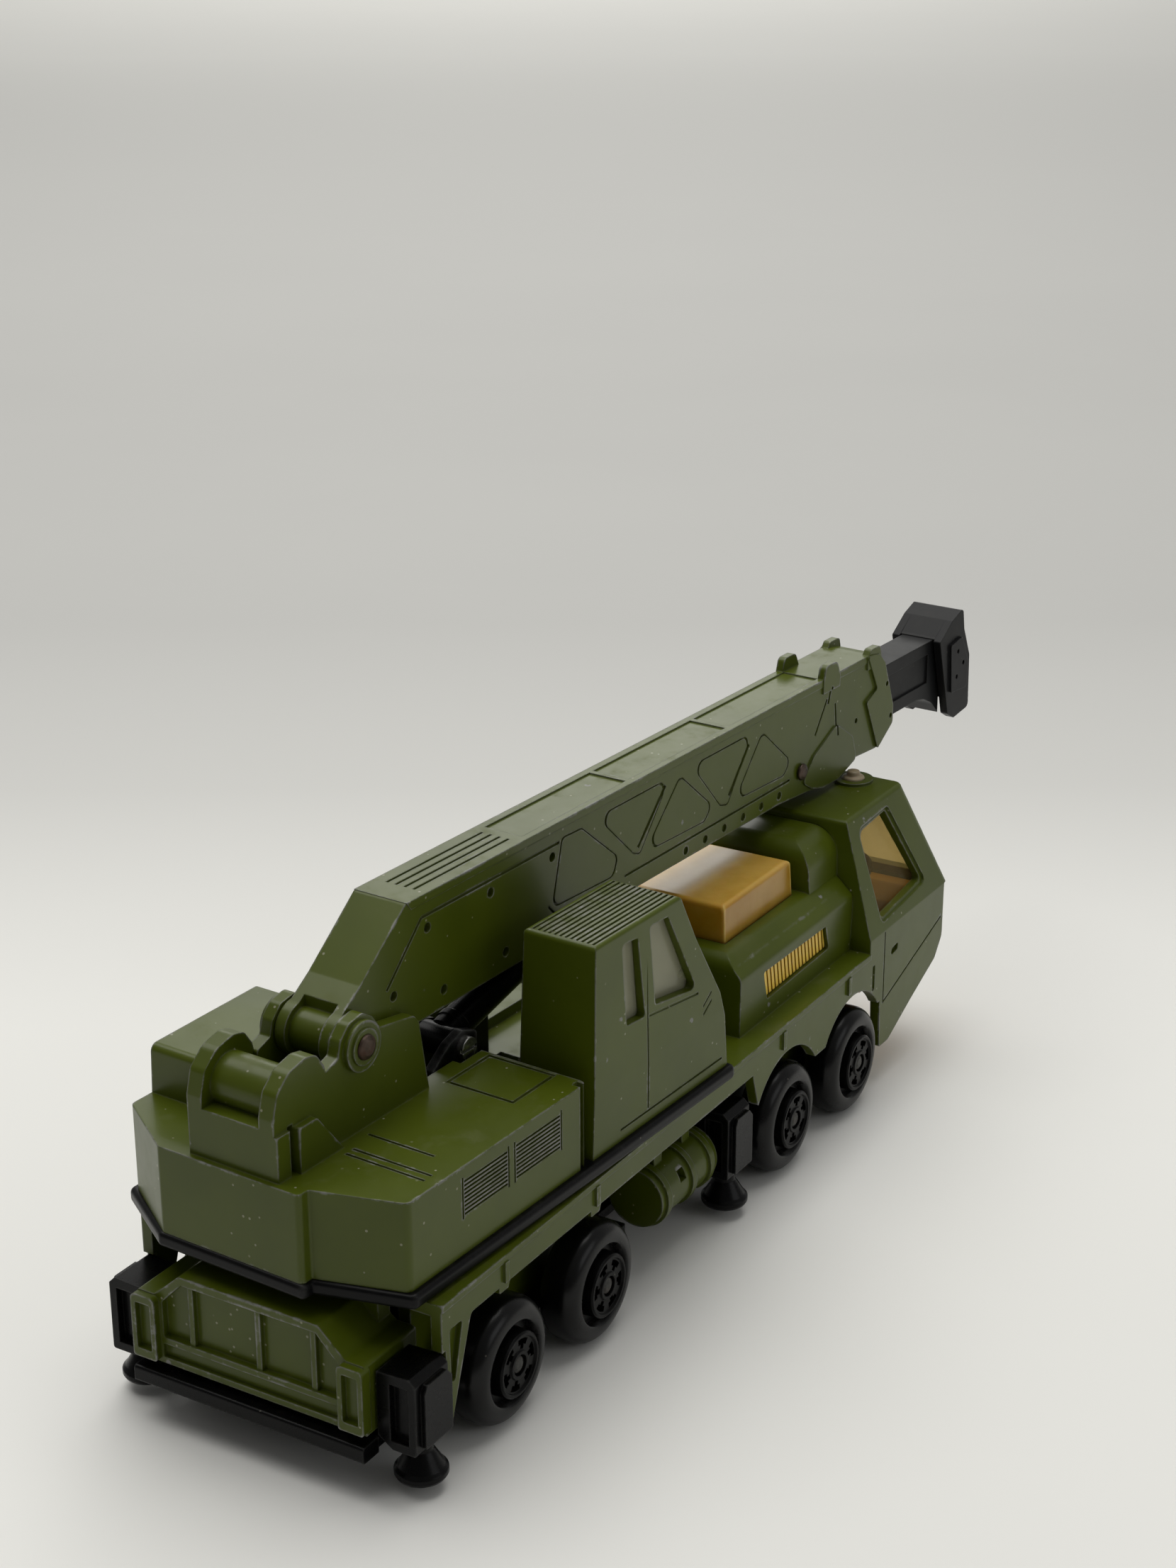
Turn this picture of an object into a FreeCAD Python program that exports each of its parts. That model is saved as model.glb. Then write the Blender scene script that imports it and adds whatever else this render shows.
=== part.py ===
import FreeCAD, Part
import math
import os

os.makedirs("parts", exist_ok=True)

# Toy crane truck, millimetres.
# +X runs forward, +Y to the truck's left, +Z up; the wheels stand on z = 0.

V = FreeCAD.Vector

# ---------------------------------------------------------------- dimensions
# running gear
WHEEL_R = 9.5
AXLE_X = (-54.9, -30.45, 30.45, 54.9)
AXLE_R = 0.95
AXLE_Z = WHEEL_R
TYRE_INNER_Y = 20.6
TYRE_W = 6.5
TYRE_BORE_R = 6.0
HUB_DISC_R = 4.95
HUB_PROUD = 0.75
HUB_BORE_R = 1.0
CAP_R = 1.35
CAP_T = 0.55

# chassis
SIDE_Y = 26.0
DECK_TOP = 27.2
DECK_T = 2.0
SKIRT_T = 1.8
RAIL_BOTTOM = 22.6
ARCH_R = 12.4
REAR_POST_X = -71.4
TAIL_X = -80.4
TAIL_Y = 19.6
TAIL_Z0 = 9.8
TAIL_SIDE_Z = 20.6
TAIL_TOP_Z = 24.6
FRAME_RAIL_Y = 15.0
FRAME_RAIL_T = 2.0
BASE_Z0 = 6.4
BASE_T = 1.6
BASE_Y = 19.4
RIVET_X = (-45.5, 0.0, 62.8)

# driver's cab
CAB_REAR_X = 61.5
CAB_NOSE_X = 94.6
CAB_SILL_Z = 29.5
CAB_ROOF_Z = 50.0
CAB_ROOF_REAR_X = 63.4
CAB_ROOF_FRONT_X = 86.6
CAB_ROOF_Y = 19.7
CAB_WALL = 1.7
BOSS_XY = (82.7, -11.6)

# engine housing and its amber cover
HOUSE_X0 = 20.6
HOUSE_Y = 22.0
HOUSE_TOP = 40.6
HUMP_X0 = 51.5
HUMP_Y = 18.0
HUMP_TOP = 48.6
COVER_X = (26.0, 50.0)
COVER_Y = 16.2
COVER_Z = (39.4, 47.0)

# turret
SLEW_X = -33.0
SLEW_REST_DEG = -2.9
SPIGOT_R = 5.95
SPIGOT_CLEARANCE = 0.05
SPIGOT_Z = 25.05
RIM_Z0 = 27.4
RIM_Z1 = 29.7
TURRET_Y = 25.0
TURRET_Z1 = 43.2
TURRET_REAR_X = -79.2
WINCH_Y = (-7.0, 8.3)
WINCH_EAR_T = 2.6
OPCAB_X = (-28.6, -5.2)
OPCAB_Y = (-25.0, -11.6)
OPCAB_ROOF_Z = 63.0

# boom
BOOM_PIVOT = (-59.7, 56.1)
BOOM_HALF_W = 4.6
BOOM_WALL = 1.3
BOOM_TOP = 71.6
BOOM_FRONT_X = 98.9
PIVOT_PIN_R = 1.5
HINGE_EAR_R = 4.1
HINGE_BARREL_R = 3.2
INNER_HALF_W = 3.2
INNER_Z = (56.5, 66.9)
INNER_REAR_X = 22.0
HEAD_HALF_W = 5.1

# lifting ram
RAM_PIN = (-33.0, 44.2)
RAM_EYE = (14.0, 55.4)
RAM_R = 2.6
ROD_R = 1.5
ROD_CLEARANCE = 0.05
RAM_LENGTH = 33.0
ROD_EYE_Y = 1.65

# outriggers
OUTRIGGER_X = (-74.7, 12.5)
OUTRIGGER_W = (7.8, 7.0)
FOOT_X = (-74.2, 12.5)
OUTRIGGER_Y = (20.1, 26.4)
OUTRIGGER_Z = (7.7, 19.5)
FOOT_R = 3.82
FOOT_Z0 = 1.9


# ---------------------------------------------------------------- helpers
def box(x0, x1, y0, y1, z0, z1):
    return Part.makeBox(x1 - x0, y1 - y0, z1 - z0, V(x0, y0, z0))


def rod(axis, centre, radius, length, both=False):
    """Cylinder from centre along an axis, or about centre when both."""
    d = {"x": V(1, 0, 0), "y": V(0, 1, 0), "z": V(0, 0, 1)}[axis]
    start = V(*centre) - d * (length / 2.0) if both else V(*centre)
    return Part.makeCylinder(radius, length, start, d)


def rounded_wire(points):
    """Closed wire through (u, v) or (u, v, radius) points, placed by the caller."""
    n = len(points)
    pts = [V(p[0], p[1], 0) for p in points]
    rad = [p[2] if len(p) > 2 else 0.0 for p in points]
    starts, ends, arcs = [], [], []
    for i in range(n):
        p, a, b = pts[i], pts[i - 1], pts[(i + 1) % n]
        if rad[i] <= 0:
            starts.append(p)
            ends.append(p)
            arcs.append(None)
            continue
        da, db = (a - p).normalize(), (b - p).normalize()
        half = da.getAngle(db) / 2.0
        t = rad[i] / math.tan(half)
        bis = (da + db).normalize()
        centre = p + bis * (rad[i] / math.sin(half))
        starts.append(p + da * t)
        ends.append(p + db * t)
        arcs.append(centre - bis * rad[i])
    edges = []
    for i in range(n):
        if arcs[i] is not None:
            edges.append(Part.Arc(starts[i], arcs[i], ends[i]).toShape())
        j = (i + 1) % n
        if ends[i].distanceToPoint(starts[j]) > 1e-6:
            edges.append(Part.makeLine(ends[i], starts[j]))
    return Part.Wire(edges)


def prism(plane, points, lo, hi):
    """Extrude a rounded outline: plane 'xz' along Y, 'yz' along X, 'xy' along Z."""
    face = Part.Face(rounded_wire(points))
    if plane == "xz":
        m = FreeCAD.Matrix(1, 0, 0, 0, 0, 0, -1, lo, 0, 1, 0, 0, 0, 0, 0, 1)
        d = V(0, hi - lo, 0)
    elif plane == "yz":
        m = FreeCAD.Matrix(0, 0, 1, lo, 1, 0, 0, 0, 0, 1, 0, 0, 0, 0, 0, 1)
        d = V(hi - lo, 0, 0)
    else:
        m = FreeCAD.Matrix(1, 0, 0, 0, 0, 1, 0, 0, 0, 0, 1, lo, 0, 0, 0, 1)
        d = V(0, 0, hi - lo)
    face.Placement = FreeCAD.Placement(m)
    solid = face.extrude(d)
    if solid.Volume < 0:
        solid.reverse()
    return solid


def fuse(shapes):
    out = shapes[0]
    if len(shapes) > 1:
        out = out.multiFuse(shapes[1:])
    return out.removeSplitter()


def cut(base, tools):
    return base.cut(Part.makeCompound(tools)).removeSplitter()


def mirror_y(shape):
    return shape.mirror(V(0, 0, 0), V(0, 1, 0))


def both_sides(shapes):
    return list(shapes) + [mirror_y(s) for s in shapes]


def frustum(r0, z0, r1, z1):
    """Solid between two rectangles (x0, x1, half width) at heights z0 and z1."""
    def wire(r, z):
        x0, x1, y = r
        return Part.makePolygon([V(x0, -y, z), V(x1, -y, z), V(x1, y, z), V(x0, y, z), V(x0, -y, z)])
    return Part.makeLoft([wire(r0, z0), wire(r1, z1)], True, True)


def cone_between(a, b, r):
    """Cylinder of radius r between two points."""
    a, b = V(*a), V(*b)
    return Part.makeCylinder(r, (b - a).Length, a, b - a)


def slewed(shape):
    """Turn a turret shape from its straight-ahead frame to the stored pose."""
    out = shape.copy()
    out.rotate(V(SLEW_X, 0, 0), V(0, 0, 1), SLEW_REST_DEG)
    return out


def save(name, shape):
    solids = shape.Solids
    out = solids[0] if len(solids) == 1 else Part.makeCompound(solids)
    out.exportStep("parts/" + name + ".step")
    print(name, len(solids), round(shape.Volume, 1), shape.isValid())


# ---------------------------------------------------------------- wheels
def turned(profile):
    """Revolve (radius, w) points about the wheel axle; w runs outward along +Y."""
    wire = rounded_wire(profile)
    return Part.Face(wire).revolve(V(0, 0, 0), V(0, 1, 0), 360)


def tyre():
    r, w = WHEEL_R, TYRE_W
    profile = [(TYRE_BORE_R, 0.7), (6.9, 0.0, 0.4), (r - 0.1, 0.0, 2.1), (r, w / 2.0, 4.0),
               (r - 0.1, w, 2.5), (6.5, w, 0.4), (TYRE_BORE_R, w - 0.9)]
    return turned(profile)


def hub():
    w = TYRE_W + HUB_PROUD
    lip = TYRE_W - 1.7
    body = turned([(HUB_BORE_R, 0.6), (TYRE_BORE_R, 0.6), (TYRE_BORE_R, lip), (HUB_DISC_R + 0.1, lip),
                   (HUB_DISC_R, w - 0.25), (HUB_DISC_R - 0.25, w), (4.35, w), (4.15, w - 0.3),
                   (2.25, w - 0.3), (2.1, w - 0.05), (1.6, w - 0.05), (1.5, w - CAP_T - 0.25),
                   (HUB_BORE_R, w - CAP_T - 0.25)])
    pockets = []
    for i in range(6):
        a = 60.0 * i
        outer = turned([(3.05, w - 1.5), (3.95, w - 1.5), (3.95, w + 1), (3.05, w + 1)])
        wedge = Part.makeLoft([Part.makePolygon([V(0, -2, 0), V(9, -2, -3.0), V(9, -2, 3.0), V(0, -2, 0)]),
                               Part.makePolygon([V(0, 12, 0), V(9, 12, -3.0), V(9, 12, 3.0), V(0, 12, 0)])],
                              True, True)
        top = outer.common(wedge)
        neck = box(2.35, 3.4, w - 1.5, w + 1, -0.42, 0.42)
        shape = top.fuse(neck)
        shape.rotate(V(0, 0, 0), V(0, 1, 0), a)
        pockets.append(shape)
    return cut(body, pockets)


def place_wheel(shape, x, side, turn):
    out = shape.copy()
    out.rotate(V(0, 0, 0), V(0, 1, 0), turn)
    out.translate(V(0, TYRE_INNER_Y, 0))
    if side < 0:
        out = mirror_y(out)
    out.translate(V(x, 0, AXLE_Z))
    return out


def axle(x):
    end = TYRE_INNER_Y + TYRE_W + HUB_PROUD
    shaft = rod("y", (x, 0, AXLE_Z), AXLE_R, 2 * (end - CAP_T - 0.1), both=True)
    parts = [shaft]
    for s in (-1, 1):
        cap = turned([(0, 0), (CAP_R, 0), (CAP_R - 0.1, CAP_T * 0.55), (CAP_R - 0.6, CAP_T), (0, CAP_T)])
        cap.translate(V(0, end - CAP_T - 0.12, 0))
        if s < 0:
            cap = mirror_y(cap)
        cap.translate(V(x, 0, AXLE_Z))
        parts.append(cap)
    return fuse(parts)


# ---------------------------------------------------------------- chassis
def arch_cut(x):
    return rod("y", (x, 0, AXLE_Z), ARCH_R, 80, both=True)


def side_skirt():
    """Right-hand side wall with rear post, rail, front arches and door panel."""
    y0, y1 = -SIDE_Y, -SIDE_Y + SKIRT_T
    outline = [(REAR_POST_X, DECK_TOP), (REAR_POST_X, 19.9), (-70.6, 19.9), (-70.2, 8.3, 0.3),
               (-69.2, 8.3, 0.3), (-64.3, RAIL_BOTTOM, 1.0), (-57.2, RAIL_BOTTOM), (-57.2, 21.6, 0.3),
               (-54.9, 21.6, 0.3), (-54.5, RAIL_BOTTOM), (-32.6, RAIL_BOTTOM), (-32.6, 21.6, 0.3),
               (-30.2, 21.6, 0.3), (-29.8, RAIL_BOTTOM), (18.0, RAIL_BOTTOM), (20.0, 16.4), (66.0, 16.4),
               (66.5, 7.2, 0.4), (70.2, 7.2, 1.0), (79.7, 11.5, 1.0), (89.6, 15.6, 1.5), (92.2, 20.5, 1.0),
               (92.6, CAB_SILL_Z), (CAB_REAR_X, CAB_SILL_Z), (CAB_REAR_X, DECK_TOP)]
    wall = prism("xz", outline, y0, y1)
    ribs = [box(x, x + 1.0, y0 - 0.45, y1, 23.0, 26.2) for x in (-56.2, -31.6, 28.0, 52.4)]
    lip = prism("xz", [(-71.4, 26.2), (61.5, 26.2), (61.5, DECK_TOP), (-71.4, DECK_TOP)], y0 - 0.25, y1)
    wall = fuse([wall, lip] + ribs)
    tools = [arch_cut(30.45), arch_cut(54.9)]
    # triangular recess in the rear post
    tools.append(prism("xz", [(-69.6, 22.6, 0.5), (-66.4, 22.6, 0.5), (-69.2, 11.0, 0.5)], y0 - 1,
                       y0 + 0.9))
    return cut(wall, tools)


def tail_block():
    outer = [(-TAIL_Y, TAIL_Z0), (-TAIL_Y, TAIL_SIDE_Z, 0.5), (-16.4, TAIL_SIDE_Z, 0.8),
             (-12.0, TAIL_TOP_Z, 0.8), (12.0, TAIL_TOP_Z, 0.8), (16.4, TAIL_SIDE_Z, 0.8),
             (TAIL_Y, TAIL_SIDE_Z, 0.5), (TAIL_Y, TAIL_Z0)]
    block = prism("yz", outer, TAIL_X, REAR_POST_X + 3.0)
    hollow = prism("yz", [(-17.8, TAIL_Z0 - 1), (-17.8, 19.0), (-11.5, 22.8), (11.5, 22.8), (17.8, 19.0),
                          (17.8, TAIL_Z0 - 1)], TAIL_X + 2.0, REAR_POST_X + 4.0)
    panel = prism("yz", [(-15.2, 14.0, 0.4), (-15.2, 19.7, 0.4), (-11.6, 23.4, 0.4), (11.6, 23.4, 0.4),
                         (15.2, 19.7, 0.4), (15.2, 14.0, 0.4)], TAIL_X - 1, TAIL_X + 1.1)
    lower = prism("yz", [(-15.4, 10.8, 0.3), (-15.4, 13.0, 0.3), (15.4, 13.0, 0.3), (15.4, 10.8, 0.3)],
                  TAIL_X - 1, TAIL_X + 0.7)
    block = cut(block, [hollow, panel, lower])
    ribs = [box(TAIL_X + 0.3, TAIL_X + 1.5, y - 0.45, y + 0.45, 13.8, 23.6) for y in (-10.9, -1.5, 10.2)]
    pods = []
    for s in (-1, 1):
        y = 17.8 * s
        pod = prism("yz", [(y - 2.1, 10.4, 0.4), (y - 2.1, 20.4, 0.8), (y + 2.1, 20.4, 0.8),
                           (y + 2.1, 10.4, 0.4)],
                    TAIL_X - 1.2, TAIL_X + 0.8)
        slot = prism("yz", [(y - 1.3, 11.8, 0.3), (y - 1.3, 19.2, 0.3), (y + 1.3, 19.2, 0.3),
                            (y + 1.3, 11.8, 0.3)],
                     TAIL_X - 2.0, TAIL_X - 0.2)
        pods.append(cut(pod, [slot]))
    return fuse([block] + ribs + pods)


def cab_shell():
    sill, roof = CAB_SILL_Z, CAB_ROOF_Z
    outer = frustum((CAB_REAR_X, CAB_NOSE_X, SIDE_Y), sill,
                    (CAB_ROOF_REAR_X, CAB_ROOF_FRONT_X, CAB_ROOF_Y), roof)
    w = CAB_WALL
    inner = frustum((CAB_REAR_X + w, CAB_NOSE_X - w - 0.3, SIDE_Y - w), sill - 0.1,
                    (CAB_ROOF_REAR_X + w, CAB_ROOF_FRONT_X - w - 0.3, CAB_ROOF_Y - w), roof - w)
    nose = prism("xy", [(CAB_REAR_X, -SIDE_Y), (CAB_NOSE_X, -SIDE_Y, 2.6), (CAB_NOSE_X, SIDE_Y, 2.6),
                        (CAB_REAR_X, SIDE_Y)], 6.0, sill)
    nose_in = prism("xy", [(CAB_REAR_X + w, -SIDE_Y + SKIRT_T), (CAB_NOSE_X - w, -SIDE_Y + SKIRT_T, 1.5),
                           (CAB_NOSE_X - w, SIDE_Y - SKIRT_T, 1.5), (CAB_REAR_X + w, SIDE_Y - SKIRT_T)],
                           5.0, sill + 1)
    side = [(CAB_REAR_X, DECK_TOP - 3.0), (66.0, 16.4), (66.5, 7.2, 0.4), (70.2, 7.2, 1.0),
            (79.7, 11.5, 1.0), (89.6, 15.6, 1.5), (93.6, 20.5, 1.0), (CAB_NOSE_X, sill), (CAB_REAR_X, sill)]
    lower = nose.cut(nose_in).common(prism("xz", side, -30, 30))
    posts = [e for e in outer.Edges if e.BoundBox.ZLength > 5 and e.BoundBox.XMin > 80]
    outer = outer.makeFillet(2.0, posts)
    brows = [e for e in outer.Edges if e.BoundBox.ZMin > roof - 0.1]
    upper = outer.makeFillet(0.8, brows).cut(inner)
    window = [(67.6, 31.4, 1.0), (84.9, 32.8, 0.8), (78.2, 47.4, 0.8), (67.4, 46.8, 1.6)]
    side_cut = [prism("xz", window, -30, -15)]
    frame_cut = [prism("xz", [(66.9, 30.8, 1.2), (86.0, 32.2, 1.0), (78.8, 48.1, 1.0), (66.6, 47.6, 1.8)],
                       -30, -15)]
    # a shallow step round each side window follows the sloping wall
    step = frustum((CAB_REAR_X - 5, CAB_NOSE_X + 5, SIDE_Y - 0.45), sill, (CAB_ROOF_REAR_X - 5,
                   CAB_ROOF_FRONT_X + 5, CAB_ROOF_Y - 0.45), roof)
    shallow = [f.cut(step) for f in frame_cut]
    screen = prism("yz", [(-23.2, 31.0, 0.8), (23.2, 31.0, 0.8), (18.0, 48.0, 0.8), (-18.0, 48.0, 0.8)],
                   80, 99)
    return lower, cut(upper, both_sides(side_cut) + both_sides(shallow) + [screen])


def engine_housing():
    z0 = DECK_TOP - 0.5
    y = HOUSE_Y
    profile = [(-y, z0), (-y, 37.4, 1.6), (-y + 3.4, HOUSE_TOP, 3.0), (y - 3.4, HOUSE_TOP, 3.0),
               (y, 37.4, 1.6), (y, z0)]
    body = prism("yz", profile, HOUSE_X0, CAB_REAR_X + 0.5)
    rear_round = prism("xz", [(HOUSE_X0, z0 - 1), (HOUSE_X0 + 0.4, HOUSE_TOP, 2.8),
                              (CAB_REAR_X + 2, HOUSE_TOP + 0.6), (CAB_REAR_X + 2, z0 - 1)], -y - 1, y + 1)
    body = body.common(rear_round)
    hump_a = prism("yz", [(-HUMP_Y - 1.5, z0), (-HUMP_Y, HUMP_TOP, 5.0), (HUMP_Y, HUMP_TOP, 5.0),
                          (HUMP_Y + 1.5, z0)], HUMP_X0, CAB_REAR_X + 1.5)
    hump_b = prism("xz", [(HUMP_X0, z0), (HUMP_X0 + 0.6, HUMP_TOP, 3.5), (CAB_REAR_X + 3, HUMP_TOP),
                          (CAB_REAR_X + 3, z0)], -30, 30)
    hollow = box(HOUSE_X0 + 1.8, CAB_REAR_X - 1.8, -y + 1.8, y - 1.8, z0 - 1, HOUSE_TOP - 2.0)
    body = fuse([body, hump_a.common(hump_b)])
    opening = box(COVER_X[0] + 0.8, COVER_X[1] - 0.8, -COVER_Y + 0.8, COVER_Y - 0.8, z0, HOUSE_TOP + 5)
    seat = box(COVER_X[0] - 0.05, COVER_X[1] + 0.05, -COVER_Y - 0.05, COVER_Y + 0.05, COVER_Z[0],
               HOUSE_TOP + 5)
    slot = [(28.7, 35.7, 0.5), (51.6, 35.3, 0.5), (52.9, 30.8, 0.5), (30.2, 30.4, 0.5)]
    return cut(body, [hollow, opening, seat] + both_sides([prism("xz", slot, -y - 1, -y + 4)]))


def fuel_tank():
    y, z, r = -20.1, 11.9, 4.9
    parts = [rod("x", (-9.6, y, z), r, 17.6)]
    parts += [rod("x", (x, y, z), r + 0.45, 1.3) for x in (-8.4, -0.6, 5.2)]
    parts += [box(x, x + 2.4, y - 1.6, y + 3.2, z, DECK_TOP - 1) for x in (-6.6, 2.2)]
    notch = box(-3.6, -1.8, y - 6.5, y - 3.2, z + 1.2, z + 3.0)
    return cut(fuse(parts), [notch])


def frame_rails():
    y0 = FRAME_RAIL_Y
    outline = [(-66.0, 24.8), (-66.0, 8.1), (-22.0, 8.1), (-20.0, 12.0), (-12.0, 17.5), (19.0, 17.5),
               (20.0, 12.0), (21.0, 8.1), (66.0, 8.1), (66.0, 24.8)]
    rail = prism("xz", outline, y0, y0 + FRAME_RAIL_T)
    slots = []
    for x in AXLE_X:
        slots.append(box(x - AXLE_R - 0.03, x + AXLE_R + 0.03, y0 - 1, y0 + 4, 7.0, AXLE_Z))
        slots.append(rod("y", (x, y0 - 1, AXLE_Z), AXLE_R + 0.03, 5))
    rail = cut(rail, slots)
    return both_sides([rail])


def chassis_body():
    deck = box(REAR_POST_X, CAB_REAR_X + CAB_WALL, -SIDE_Y, SIDE_Y, DECK_TOP - DECK_T, DECK_TOP)
    lower, upper = cab_shell()
    posts = [rod("z", (x, 0, BASE_Z0 + BASE_T + 0.05), 2.6,
                 DECK_TOP - BASE_Z0 - BASE_T - 1) for x in RIVET_X]
    boss = rod("z", (BOSS_XY[0], BOSS_XY[1], CAB_ROOF_Z - 1.0), 3.6, 1.5)
    bulkhead = box(REAR_POST_X, REAR_POST_X + 2.8, -15.5, 15.5, 20.0, DECK_TOP - 1)
    shapes = [deck, bulkhead, lower, upper, tail_block(), engine_housing(),
              boss] + both_sides([side_skirt(), fuel_tank()])
    shapes += frame_rails() + posts
    body = fuse(shapes)
    tools = [rod("z", (SLEW_X, 0, DECK_TOP - 5), SPIGOT_R + SPIGOT_CLEARANCE, 8)]
    tools += [rod("z", (x, 0, BASE_Z0), 1.25, 8.0) for x in RIVET_X]
    # outrigger beams pass through the tail walls
    x = OUTRIGGER_X[0]
    tools += both_sides([box(x - 2.5, x + 2.5, -TAIL_Y - 1, -17.0, 10.3, 16.5)])
    # door seams and handle recess in each cab side
    y0, y1 = -SIDE_Y - 1, -SIDE_Y + 0.35
    seams = [box(67.2, 67.6, y0, y1, 15.6, 29.2),
             prism("xz", [(67.2, 15.4), (67.2, 15.8), (91.6, 23.4), (91.6, 23.0)], y0, y1),
             prism("xz", [(70.0, 23.6, 0.5), (70.4, 24.9, 0.5), (73.2, 25.3, 0.5), (72.8, 23.9, 0.5)], y0,
                   y1 + 0.3),
             prism("xz", [(62.6, 19.6, 0.4), (62.6, 24.4, 0.4), (63.6, 24.4, 0.4), (63.6, 19.6, 0.4)], y0,
                   y1)]
    return cut(body, tools + both_sides(seams))


# ---------------------------------------------------------------- base plate
def base_plate():
    z0, z1 = BASE_Z0, BASE_Z0 + BASE_T
    waist = 14.2
    edge = [(-11.2, BASE_Y, 0.5), (-11.2, waist, 0.5), (8.2, waist, 0.5), (8.2, BASE_Y, 0.5),
            (66.0, BASE_Y, 2), (74.0, 17.0, 2)]
    left = [(-80.2, BASE_Y, 0.6)] + edge
    right = [(p[0], -p[1]) + tuple(p[2:]) for p in left]
    plate = prism("xy", left + right[::-1], z0, z1)
    bumper = prism("xz", [(-81.8, z0 - 0.2, 0.4), (-81.8, z0 + 2.3, 0.5), (-78.2, z0 + 2.3),
                          (-78.2, z0 - 0.2)],
                   -19.9, 19.9)
    pads = []
    for x in AXLE_X:
        pads += both_sides([box(x - 0.9, x + 0.9, FRAME_RAIL_Y + 0.1, FRAME_RAIL_Y + 1.9, z1 - 0.5,
                                AXLE_Z - AXLE_R)])
    guides = []
    for x in OUTRIGGER_X:
        for s in (-1, 1):
            guides.append(box(x + s * 2.75 - 0.25, x + s * 2.75 + 0.25, -14.6, 14.6, z1 - 0.5, 12.5))
    keel = [box(-62, -16, -1.4, 1.4, z0 - 0.5, z0 + 0.5), box(24, 62, -1.4, 1.4, z0 - 0.5, z0 + 0.5)]
    frames = []
    for x0, x1 in ((-50.5, -34.8), (34.8, 50.5), (-16.0, 4.0)):
        ring = box(x0, x1, -12.5, 12.5, z0 - 0.4, z0 + 0.2).cut(box(x0 + 1.2, x1 - 1.2, -11.3, 11.3,
                                                                    z0 - 1, z0 + 1))
        frames.append(ring)
    body = fuse([plate, bumper] + pads + guides + keel + frames)
    tools = [rod("z", (x, 0, z0 - 2), 1.25, 6) for x in RIVET_X]
    tools += [rod("z", (x, 0, z0 - 2), 2.6, 2.0) for x in RIVET_X]
    return cut(body, tools)


def base_rivets():
    out = []
    for x in RIVET_X:
        head = turned([(0, 0), (1.9, 0), (1.9, 0.5), (1.2, 0.9), (0, 0.9)])
        head.rotate(V(0, 0, 0), V(1, 0, 0), -90)
        head.translate(V(x, 0, BASE_Z0 - 0.02))
        shank = rod("z", (x, 0, BASE_Z0 - 0.5), 1.2, 6.5)
        out.append(fuse([head, shank]))
    return Part.makeCompound(out)


# ---------------------------------------------------------------- cab fittings
def cab_glazing():
    """One clear moulding lining the windscreen, side windows and cab roof."""
    sill, top = CAB_SILL_Z - 0.1, CAB_ROOF_Z - CAB_WALL

    def liner(inset, z_top, rear):
        front = CAB_WALL + 0.3 + inset
        y = CAB_WALL + inset
        solid = frustum((CAB_REAR_X + rear, CAB_NOSE_X - front, SIDE_Y - y), sill,
                        (CAB_ROOF_REAR_X + rear, CAB_ROOF_FRONT_X - front, CAB_ROOF_Y - y), top)
        return solid.common(box(50, 100, -30, 30, sill + 0.4, z_top))

    return liner(0.06, top - 0.06, CAB_WALL + 1.8).cut(liner(0.96, top - 0.96, -8.0))


def cab_interior():
    floor = box(66.2, 91.0, -22.0, 22.0, 17.0, 18.4)
    legs = both_sides([box(68.0, 71.0, -13.0, -9.0, BASE_Z0 + BASE_T, 17.5)])
    dash = prism("xz", [(84.0, 18.0), (84.0, 27.0, 1.0), (88.0, 29.4, 1.0), (91.2, 29.4, 0.6),
                        (91.2, 18.0)], -21.5, 21.5)
    parts = [floor, dash] + legs
    for y in (-11.5, 11.5):
        parts.append(prism("xz", [(66.8, 18.0), (66.2, 36.0, 1.0), (69.2, 36.0, 1.0), (70.8, 25.6, 0.8),
                                  (78.6, 26.4, 1.0), (79.0, 18.0)], y - 6.2, y + 6.2))
    column = cone_between((86.0, -11.5, 26.0), (82.4, -11.5, 32.6), 0.8)
    column2 = cone_between((86.0, 11.5, 26.0), (83.6, 11.5, 30.0), 0.6)
    return fuse(parts + [column, column2])


def steering_wheel():
    ring = Part.makeTorus(3.9, 0.55)
    hub_disc = Part.makeCylinder(1.5, 0.8, V(0, 0, -0.4))
    spokes = [box(-3.9, 3.9, -0.4, 0.4, -0.3, 0.3), box(-0.4, 0.4, -3.9, 0, -0.3, 0.3)]
    wheel = fuse([ring, hub_disc] + spokes)
    wheel.rotate(V(0, 0, 0), V(0, 1, 0), -28.6)
    wheel.translate(V(82.208, -11.5, 32.951))
    return wheel


def engine_cover():
    x0, x1 = COVER_X
    z0, z1 = COVER_Z
    y = COVER_Y
    outer = prism("yz", [(-y, z0), (-y + 0.4, z1, 0.9), (y - 0.4, z1, 0.9), (y, z0)], x0, x1)
    ends = prism("xz", [(x0, z0), (x0 + 0.3, z1, 0.9), (x1 - 0.3, z1, 0.9), (x1, z0)], -y, y)
    inner = box(x0 + 1.1, x1 - 1.1, -y + 1.3, y - 1.3, z0 - 1, z1 - 1.1)
    louvres = [box(x, x + 0.5, -12.5, 12.5, z1 - 1.4, z1 - 0.9) for x in (32.0, 36.0, 40.0, 44.0)]
    return fuse([outer.common(ends).cut(inner)] + louvres)


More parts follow.
